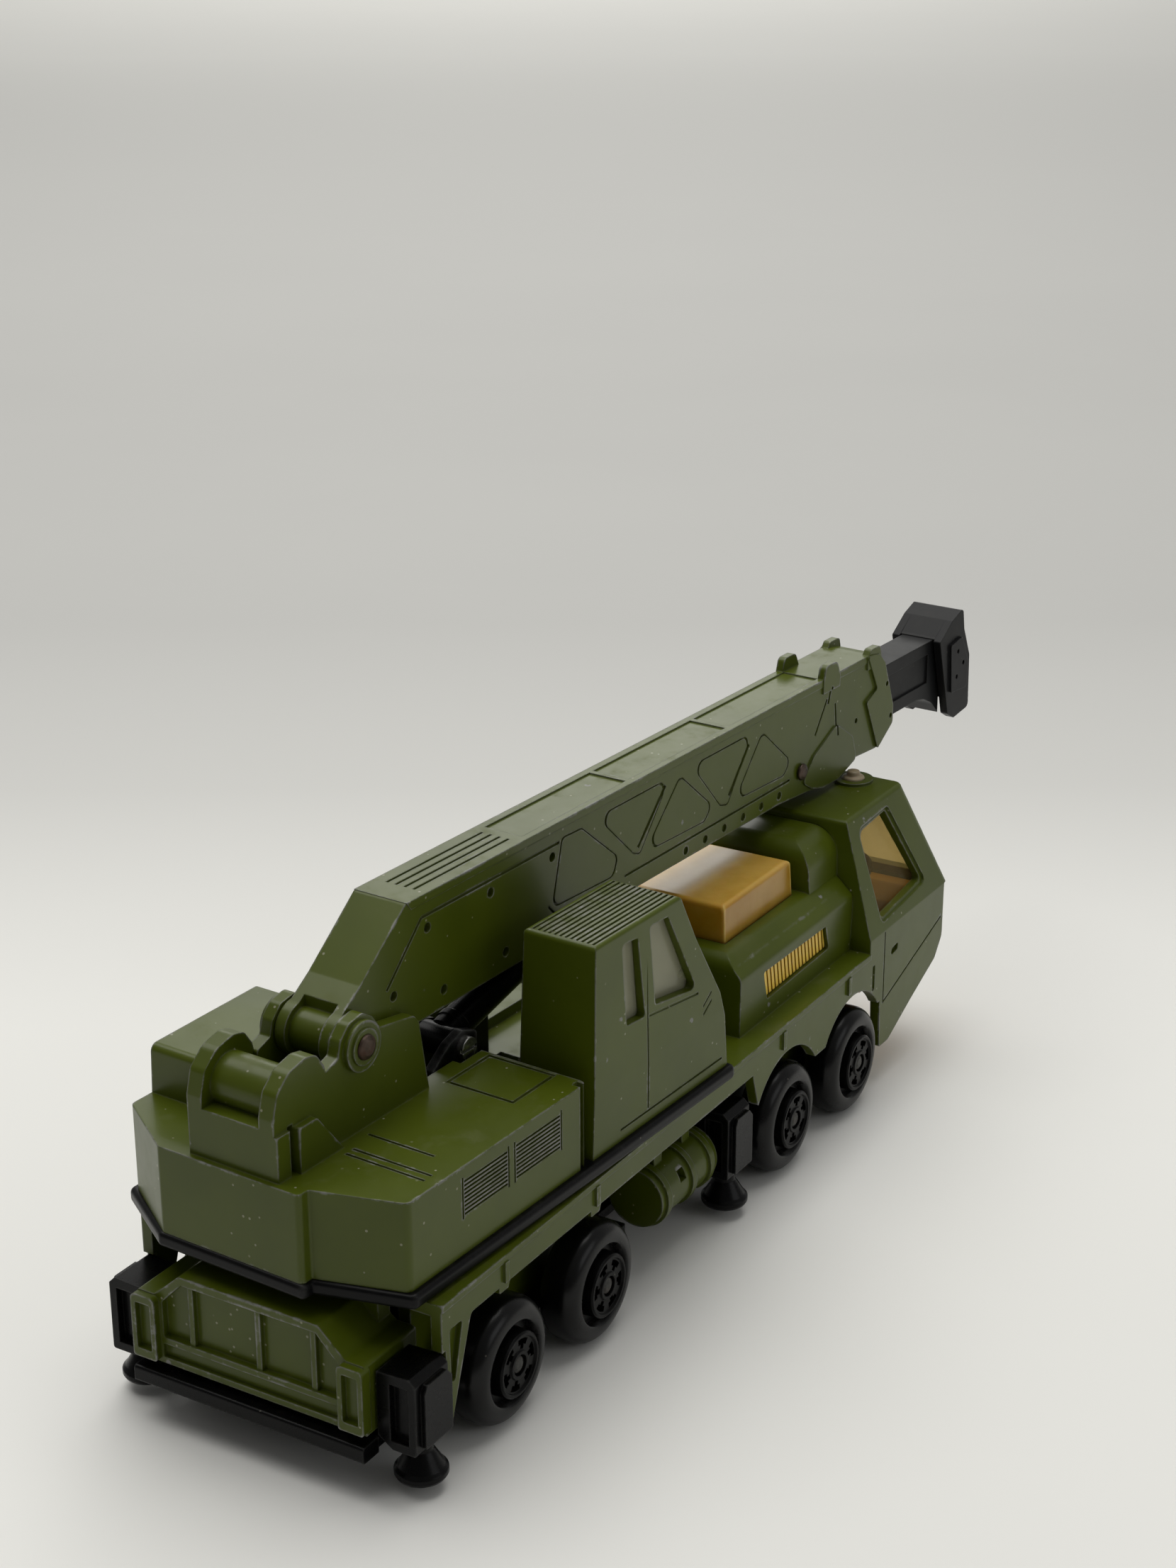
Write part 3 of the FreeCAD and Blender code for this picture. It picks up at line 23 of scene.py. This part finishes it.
# ------------------------------------------------------------ material kit
class Shader:
    """Builds one procedural material in the row frame's own coordinates."""

    def __init__(self, name):
        self.mat = bpy.data.materials.new(name)
        self.mat.use_nodes = True
        self.tree = self.mat.node_tree
        self.tree.nodes.clear()
        self.coord = self.add("ShaderNodeTexCoord").outputs["Object"]
        self.geometry = self.add("ShaderNodeNewGeometry")

    def add(self, kind, **props):
        node = self.tree.nodes.new(kind)
        for key, value in props.items():
            setattr(node, key, value)
        return node

    def put(self, socket, value):
        if isinstance(value, bpy.types.NodeSocket):
            self.tree.links.new(value, socket)
        elif isinstance(value, (tuple, list)) and len(value) == 3 and len(socket.default_value) == 4:
            socket.default_value = (*value, 1.0)
        else:
            socket.default_value = value

    def math(self, op, a, b=0.0, c=0.0):
        node = self.add("ShaderNodeMath", operation=op)
        for socket, value in zip(node.inputs, (a, b, c)):
            self.put(socket, value)
        return node.outputs[0]

    def ramp(self, value, low, high, out_low=0.0, out_high=1.0):
        node = self.add("ShaderNodeMapRange", interpolation_type="SMOOTHSTEP")
        for socket, v in zip(node.inputs, (value, low, high, out_low, out_high)):
            self.put(socket, v)
        return node.outputs[0]

    def mix(self, fac, a, b):
        node = self.add("ShaderNodeMix", data_type="RGBA")
        self.put(node.inputs[0], fac)
        self.put(node.inputs[6], a)
        self.put(node.inputs[7], b)
        return node.outputs[2]

    def noise(self, scale, detail=3.0, rough=0.55, stretch=(1, 1, 1), shift=(0, 0, 0)):
        mapping = self.add("ShaderNodeMapping")
        self.put(mapping.inputs[0], self.coord)
        mapping.inputs[1].default_value = shift
        mapping.inputs[3].default_value = stretch
        node = self.add("ShaderNodeTexNoise")
        self.put(node.inputs["Vector"], mapping.outputs[0])
        node.inputs["Scale"].default_value = scale
        node.inputs["Detail"].default_value = detail
        node.inputs["Roughness"].default_value = rough
        return node.outputs["Fac"]

    def specks(self, scale, size, keep):
        """Scattered small spots: size sets each spot's radius, keep the share of cells with one."""
        node = self.add("ShaderNodeTexVoronoi")
        self.put(node.inputs["Vector"], self.coord)
        node.inputs["Scale"].default_value = scale
        chosen = self.add("ShaderNodeSeparateColor")
        self.put(chosen.inputs[0], node.outputs["Color"])
        spot = self.ramp(node.outputs["Distance"], size, size * 0.6)
        return self.math("MULTIPLY", spot, self.ramp(chosen.outputs[0], keep, keep - 0.02))

    def occlusion(self, distance, inside=False, samples=6):
        node = self.add("ShaderNodeAmbientOcclusion", inside=inside, samples=samples, only_local=inside)
        node.inputs["Distance"].default_value = distance
        return node.outputs["AO"]

    def edges(self, width):
        """1 close to a convex edge, 0 on open faces."""
        return self.math("SUBTRACT", 1.0, self.occlusion(width, inside=True))

    def crevice(self, reach):
        """1 in corners and grooves, 0 on open faces."""
        return self.math("SUBTRACT", 1.0, self.occlusion(reach))

    def upward(self):
        normal = self.add("ShaderNodeSeparateXYZ")
        self.put(normal.inputs[0], self.geometry.outputs["Normal"])
        return self.ramp(normal.outputs[2], 0.3, 0.95)

    def bump(self, height, strength, distance, normal=None):
        node = self.add("ShaderNodeBump")
        node.inputs["Strength"].default_value = strength
        node.inputs["Distance"].default_value = distance
        self.put(node.inputs["Height"], height)
        if normal is not None:
            self.put(node.inputs["Normal"], normal)
        return node.outputs[0]

    def soft_edges(self, radius):
        node = self.add("ShaderNodeBevel", samples=4)
        node.inputs["Radius"].default_value = radius
        return node.outputs[0]

    def finish(self, **inputs):
        bsdf = self.add("ShaderNodeBsdfPrincipled")
        names = {"color": "Base Color", "rough": "Roughness", "metal": "Metallic", "normal": "Normal",
                 "coat": "Coat Weight", "coat_rough": "Coat Roughness", "through": "Transmission Weight",
                 "ior": "IOR", "gloss": "Specular IOR Level", "glow": "Subsurface Weight",
                 "glow_radius": "Subsurface Radius", "glow_scale": "Subsurface Scale"}
        for key, value in inputs.items():
            self.put(bsdf.inputs[names[key]], value)
        out = self.add("ShaderNodeOutputMaterial")
        self.tree.links.new(bsdf.outputs[0], out.inputs[0])
        return self.mat


# ------------------------------------------------------------ materials
DUST = (0.22, 0.19, 0.13)


def olive_paint():
    s = Shader("olive_paint")
    tone = s.noise(38, 4)
    color = s.mix(s.ramp(tone, 0.3, 0.7), (0.050, 0.067, 0.0019), (0.064, 0.084, 0.0031))
    nook = s.crevice(0.0016)
    outer = s.ramp(nook, 0.22, 0.08)
    # paint worn thin to a greyer green just beside the edges; this lighter edge tint is also a painted
    # highlight
    worn_and_edge_highlight = s.math("MULTIPLY", s.ramp(s.edges(0.0010), 0.3, 0.7), s.ramp(s.noise(260, 5, 0.7), 0.5, 0.72))
    worn_and_edge_highlight = s.math("MULTIPLY", worn_and_edge_highlight, outer)
    color = s.mix(s.math("MULTIPLY", worn_and_edge_highlight, 0.2), color, (0.12, 0.13, 0.05))
    # dust in the grooves and on the decks
    dust = s.math("MULTIPLY", s.ramp(nook, 0.25, 0.75), s.ramp(s.noise(420, 5, 0.7), 0.42, 0.72))
    film = s.math("MULTIPLY", s.upward(), s.ramp(s.noise(140, 6, 0.72), 0.5, 0.82))
    color = s.mix(s.math("MULTIPLY", dust, 0.22), color, DUST)
    color = s.mix(s.math("MULTIPLY", film, 0.09), color, DUST)
    lint = s.specks(820, 0.2, 0.08)
    color = s.mix(s.math("MULTIPLY", lint, 0.5), color, (0.4, 0.38, 0.3))
    # chips down to the casting: at edges, and a few small ones on the faces
    broken = s.math("ADD", s.math("MULTIPLY", s.noise(300, 5, 0.7), 0.8),
                    s.math("MULTIPLY", s.noise(70, 3), 0.5))
    chip = s.ramp(s.math("ADD", s.math("MULTIPLY", s.edges(0.0006), 0.8), broken), 0.99, 1.03)
    chip = s.math("MULTIPLY", chip, outer)
    spots = s.math("MULTIPLY", s.specks(260, 0.17, 0.06), s.ramp(s.noise(900, 3), 0.44, 0.52))
    chip = s.math("MAXIMUM", chip, spots)
    metal = s.mix(s.noise(600, 3), (0.14, 0.14, 0.13), (0.32, 0.32, 0.31))
    color = s.mix(chip, color, metal)
    rough = s.math("ADD", 0.27, s.math("MULTIPLY", s.noise(260, 5, 0.65), 0.14))
    rough = s.math("ADD", rough, s.math("MULTIPLY", s.math("MAXIMUM", dust, film), 0.3))
    rough = s.math("MAXIMUM", rough, s.math("MULTIPLY", chip, 0.55))
    height = s.math("SUBTRACT", s.math("MULTIPLY", s.noise(520, 2), 0.25), s.math("MULTIPLY", chip, 1.0))
    normal = s.bump(height, 0.35, 0.00006, s.soft_edges(0.00035))
    return s.finish(color=color, rough=rough, metal=s.math("MULTIPLY", chip, 0.5), normal=normal,
                    coat=s.math("MULTIPLY", s.math("SUBTRACT", 1.0, chip), 0.1), coat_rough=0.14, gloss=0.24)


def black_plastic(name, base, rough0, scuff_width, scuff_gain, dust_gain, radius=0.00025, gloss=0.14):
    """Black moulding: greyer scuffs at its edges, dust in its corners; radius softens its edges."""
    s = Shader(name)
    color = s.mix(s.noise(90, 4), tuple(0.8 * c for c in base), tuple(1.25 * c for c in base))
    scuff = s.math("ADD", s.edges(scuff_width), s.math("MULTIPLY", s.noise(260, 5, 0.7), 0.75))
    scuff = s.math("MULTIPLY", s.ramp(scuff, 0.78, 0.98), scuff_gain)
    dust = s.math("MULTIPLY", s.ramp(s.crevice(0.0025), 0.3, 0.8), s.ramp(s.noise(500, 5, 0.7), 0.45, 0.75))
    film = s.math("MULTIPLY", s.upward(), s.ramp(s.noise(180, 6, 0.72), 0.45, 0.8))
    color = s.mix(scuff, color, (0.11, 0.11, 0.105))
    color = s.mix(s.math("MULTIPLY", dust, dust_gain), color, DUST)
    color = s.mix(s.math("MULTIPLY", film, dust_gain * 0.15), color, DUST)
    color = s.mix(s.math("MULTIPLY", s.specks(760, 0.15, 0.04), 0.5 * dust_gain + 0.1), color,
                  (0.4, 0.38, 0.32))
    rough = s.math("ADD", rough0, s.math("MULTIPLY", s.noise(320, 5, 0.65), 0.12))
    rough = s.math("ADD", rough, s.math("MULTIPLY", s.math("MAXIMUM", scuff, dust), 0.3))
    normal = s.bump(s.noise(700, 3), 0.18, 0.00005, s.soft_edges(radius))
    return s.finish(color=color, rough=rough, normal=normal, gloss=gloss)


def amber_plastic(name, deep, pale, through, haze):
    s = Shader(name)
    # painted highlight: paler along the edges, over the plastic's own random clouding
    painted_edge_highlight = s.ramp(s.edges(0.0009), 0.1, 0.5)
    cloud = s.ramp(s.noise(75, 5, 0.6), 0.35, 0.7)
    color = s.mix(s.math("MAXIMUM", s.math("MULTIPLY", painted_edge_highlight, 0.9), s.math("MULTIPLY", cloud, 0.25)),
                  deep, pale)
    # paler upward faces, their strength set by haze: partly a haze on the tops, partly painted top light
    film = s.math("MULTIPLY", s.upward(), s.ramp(s.noise(60, 6, 0.7), 0.25, 0.7, 0.45, 1.0))
    color = s.mix(s.math("MULTIPLY", film, haze), color, (0.95, 0.62, 0.16))
    # painted shade: the crevices darkened toward a deeper amber
    color = s.mix(s.ramp(s.crevice(0.0012), 0.15, 0.6), color, tuple(0.3 * c for c in deep))
    rough = s.math("ADD", 0.12, s.math("MULTIPLY", s.noise(240, 5, 0.7), 0.2))
    normal = s.bump(s.noise(420, 3), 0.12, 0.00005, s.soft_edges(0.0003))
    return s.finish(color=color, rough=rough, normal=normal, through=through, ior=1.46, glow=0.35,
                    glow_radius=(1.0, 0.45, 0.12), glow_scale=0.003)


def window_plastic(name, tint, glass, alpha):
    """Thin tinted clear moulding with a light even haze."""
    s = Shader(name)
    haze = s.ramp(s.noise(38, 3, 0.5), 0.3, 0.8)
    color = s.mix(haze, tint, tuple(1.25 * c for c in tint))
    cover = s.math("ADD", alpha, s.math("MULTIPLY", haze, 0.1))
    rough = s.math("ADD", 0.08, s.math("MULTIPLY", haze, 0.1))
    s.finish(color=color, rough=rough, ior=1.49, gloss=0.3)
    clear = s.add("ShaderNodeBsdfTransparent")
    s.put(clear.inputs[0], glass)
    blend = s.add("ShaderNodeMixShader")
    s.put(blend.inputs[0], cover)
    s.tree.links.new(clear.outputs[0], blend.inputs[1])
    s.tree.links.new(s.tree.nodes["Principled BSDF"].outputs[0], blend.inputs[2])
    s.tree.links.new(blend.outputs[0], s.tree.nodes["Material Output"].inputs[0])
    return s.mat


def plain_plastic(name, base, rough0):
    s = Shader(name)
    color = s.mix(s.noise(120, 4), tuple(0.82 * c for c in base), tuple(1.15 * c for c in base))
    # painted shade: the crevices darkened toward a dark brown
    painted_crevice_shade = s.math("MULTIPLY", s.ramp(s.crevice(0.003), 0.25, 0.8), 0.5)
    color = s.mix(painted_crevice_shade, color, (0.06, 0.045, 0.02))
    rough = s.math("ADD", rough0, s.math("MULTIPLY", s.noise(260, 4), 0.15))
    normal = s.bump(s.noise(650, 3), 0.15, 0.00005, s.soft_edges(0.0003))
    return s.finish(color=color, rough=rough, normal=normal, glow=0.1, glow_scale=0.002)


def steel(name, dark, light, rough0, rust):
    s = Shader(name)
    color = s.mix(s.ramp(s.noise(260, 5, 0.65), 0.3, 0.7), dark, light)
    stain = s.math("MULTIPLY", s.ramp(s.noise(420, 5, 0.7), 0.45, 0.7), rust)
    color = s.mix(stain, color, (0.075, 0.032, 0.016))
    rough = s.math("ADD", rough0, s.math("MULTIPLY", stain, 0.3))
    rough = s.math("ADD", rough, s.math("MULTIPLY", s.noise(900, 3), 0.12))
    metal = s.math("SUBTRACT", 1.0, s.math("MULTIPLY", stain, 0.7))
    normal = s.bump(s.noise(800, 4), 0.25, 0.00004, s.soft_edges(0.00025))
    return s.finish(color=color, rough=rough, metal=metal, normal=normal)


PAINT = olive_paint()
FRAME_BLACK = black_plastic("frame_black", (0.0016, 0.0016, 0.0018), 0.22, 0.0006, 0.3, 0.10)
RIM_BLACK = black_plastic("rim_black", (0.002, 0.002, 0.0023), 0.26, 0.0013, 0.8, 0.12)
BOOM_BLACK = black_plastic("boom_black", (0.006, 0.0062, 0.0068), 0.34, 0.0005, 0.2, 0.10)
WHEEL_BLACK = black_plastic("wheel_black", (0.003, 0.003, 0.003), 0.2, 0.0005, 0.15, 0.08, 0.0003, 0.22)
HUB_BLACK = black_plastic("hub_black", (0.002, 0.002, 0.002), 0.24, 0.0002, 0.08, 0.03, 0.00015, 0.1)
AMBER = amber_plastic("amber_clear", (0.40, 0.20, 0.004), (0.90, 0.60, 0.16), 0.2, 0.5)
AMBER_STRIP = amber_plastic("amber_strip", (0.86, 0.46, 0.02), (0.95, 0.60, 0.08), 0.0, 0.0)
BEIGE = plain_plastic("beige_lamp", (0.34, 0.27, 0.17), 0.3)
YELLOW = plain_plastic("yellow_seats", (0.62, 0.35, 0.06), 0.38)
GLAZING = window_plastic("cab_window", (0.20, 0.15, 0.06), (0.93, 0.86, 0.66), 0.2)
GLAZING_REAR = window_plastic("operator_window", (0.33, 0.33, 0.23), (0.93, 0.92, 0.82), 0.5)
BROWN_STEEL = steel("brown_steel", (0.035, 0.026, 0.02), (0.10, 0.075, 0.06), 0.38, 0.8)
BRIGHT_STEEL = steel("bright_steel", (0.30, 0.30, 0.28), (0.62, 0.62, 0.60), 0.22, 0.12)
AXLE_STEEL = steel("axle_steel", (0.04, 0.04, 0.038), (0.12, 0.12, 0.11), 0.38, 0.35)

FINISH = {
    "chassis_body": PAINT, "turret_body": PAINT, "outer_boom": PAINT,
    "base_plate": FRAME_BLACK, "turret_base_plate": RIM_BLACK, "turret_retainer": BROWN_STEEL,
    "inner_boom": BOOM_BLACK, "boom_head": BOOM_BLACK, "ram_cylinder": FRAME_BLACK, "ram_rod": BRIGHT_STEEL,
    "ram_pin": BRIGHT_STEEL, "boom_pin": BROWN_STEEL, "boom_rivets": BROWN_STEEL, "base_rivets": BROWN_STEEL,
    "cab_glazing": GLAZING, "operator_glazing": GLAZING_REAR, "cab_interior": YELLOW,
    "steering_wheel": HUB_BLACK, "engine_cover": AMBER, "engine_strip_right": AMBER_STRIP,
    "engine_strip_left": AMBER_STRIP, "roof_beacon": BEIGE,
}
for name, obj in nodes.items():
    if name in FINISH:
        finish = FINISH[name]
    elif name.startswith("tyre"):
        finish = WHEEL_BLACK
    elif name.startswith("hub"):
        finish = HUB_BLACK
    elif name.startswith("axle"):
        finish = AXLE_STEEL
    else:
        finish = FRAME_BLACK
    obj.data.materials.clear()
    obj.data.materials.append(finish)

# ------------------------------------------------------------ stage
EYE = Vector((-0.3220, -0.2014, 0.2167))
LOOK = Vector((0.80007, 0.48564, -0.35220))


def floor_material():
    """Pale card with painted light and shade: its brightness changes gently with the distance from the front
    of the stage.
    """
    s = Shader("pale_floor")
    ahead = Vector((LOOK.x, LOOK.y, 0)).normalized()
    dot = s.add("ShaderNodeVectorMath", operation="DOT_PRODUCT")
    s.put(dot.inputs[0], s.coord)
    dot.inputs[1].default_value = ahead
    reach = s.math("SUBTRACT", dot.outputs["Value"], EYE.x * ahead.x + EYE.y * ahead.y)
    ramp = s.add("ShaderNodeValToRGB")
    s.put(ramp.inputs[0], s.math("DIVIDE", reach, 3.0))
    # painted light: brightest in front, darker from the middle of the model backwards, lighter again far off
    stops = [(0.0, 0.79), (0.150, 0.79), (0.168, 0.70), (0.192, 0.56), (0.235, 0.47), (0.34, 0.47),
             (0.80, 0.66)]
    band = ramp.color_ramp
    while len(band.elements) < len(stops):
        band.elements.new(0.5)
    for element, (at, level) in zip(band.elements, stops):
        element.position = at
        element.color = (level, level * 0.995, level * 0.965, 1)
    grain = s.mix(s.ramp(s.noise(6, 4), 0.3, 0.7, 0.0, 0.06), ramp.outputs[0], (0.6, 0.6, 0.57))
    return s.finish(color=grain, rough=0.65, gloss=0.2)


def make_floor():
    mesh = bpy.data.meshes.new("stage_floor")
    size = 9.0
    mesh.from_pydata([(-size, -size, 0), (size, -size, 0), (size, size, 0), (-size, size, 0)], [],
                     [(0, 1, 2, 3)])
    obj = bpy.data.objects.new("stage_floor", mesh)
    scene.collection.objects.link(obj)
    mesh.materials.append(floor_material())


def area_light(name, place, target, size, power, color=(1, 1, 1)):
    data = bpy.data.lights.new(name, "AREA")
    data.shape = "RECTANGLE"
    data.size, data.size_y = size
    data.energy = power
    data.color = color
    obj = bpy.data.objects.new(name, data)
    obj.location = place
    obj.rotation_euler = (Vector(target) - Vector(place)).to_track_quat("-Z", "Y").to_euler()
    scene.collection.objects.link(obj)


make_floor()
area_light("key_light", (0.25, 0.35, 1.5), (0, 0, 0), (1.7, 1.5), 23.5, (1.0, 0.99, 0.96))
area_light("side_light", (0.3, -1.7, 0.8), (0, 0, 0.04), (1.2, 0.7), 3.0, (0.98, 0.99, 1.0))
area_light("far_light", (2.9, 1.75, 1.3), (2.9, 1.75, 0), (2.4, 1.6), 27.0, (1.0, 0.99, 0.95))

BRIGHT_SIDE = (0.75, 0.1, 0.65)
SKY_DIM, SKY_BRIGHT = 0.06, 0.44


def studio_world():
    """Pale surroundings, brighter ahead and above than behind, as in a room lit from one side."""
    world = bpy.data.worlds.new("studio")
    world.use_nodes = True
    sky = world.node_tree.nodes
    link = world.node_tree.links.new
    toward = sky.new("ShaderNodeVectorMath")
    toward.operation = "DOT_PRODUCT"
    toward.inputs[1].default_value = BRIGHT_SIDE
    link(sky.new("ShaderNodeTexCoord").outputs["Generated"], toward.inputs[0])
    level = sky.new("ShaderNodeMapRange")
    for socket, value in zip(level.inputs[1:5], (-0.8, 0.9, SKY_DIM, SKY_BRIGHT)):
        socket.default_value = value
    link(toward.outputs["Value"], level.inputs[0])
    link(level.outputs[0], sky["Background"].inputs[1])
    sky["Background"].inputs[0].default_value = (0.80, 0.80, 0.78, 1)
    scene.world = world


studio_world()

# ------------------------------------------------------------ camera
camera = bpy.data.cameras.new("camera")
camera.sensor_fit = "VERTICAL"
camera.sensor_height = 36.0
camera.sensor_width = 27.0
camera.lens = 60.52
camera.clip_start = 0.01
rig = bpy.data.objects.new("camera", camera)
roll = Matrix.Rotation(math.radians(-0.215), 4, "Z")
rig.matrix_world = Matrix.Translation(EYE) @ LOOK.to_track_quat("-Z", "Y").to_matrix().to_4x4() @ roll
scene.collection.objects.link(rig)
scene.camera = rig
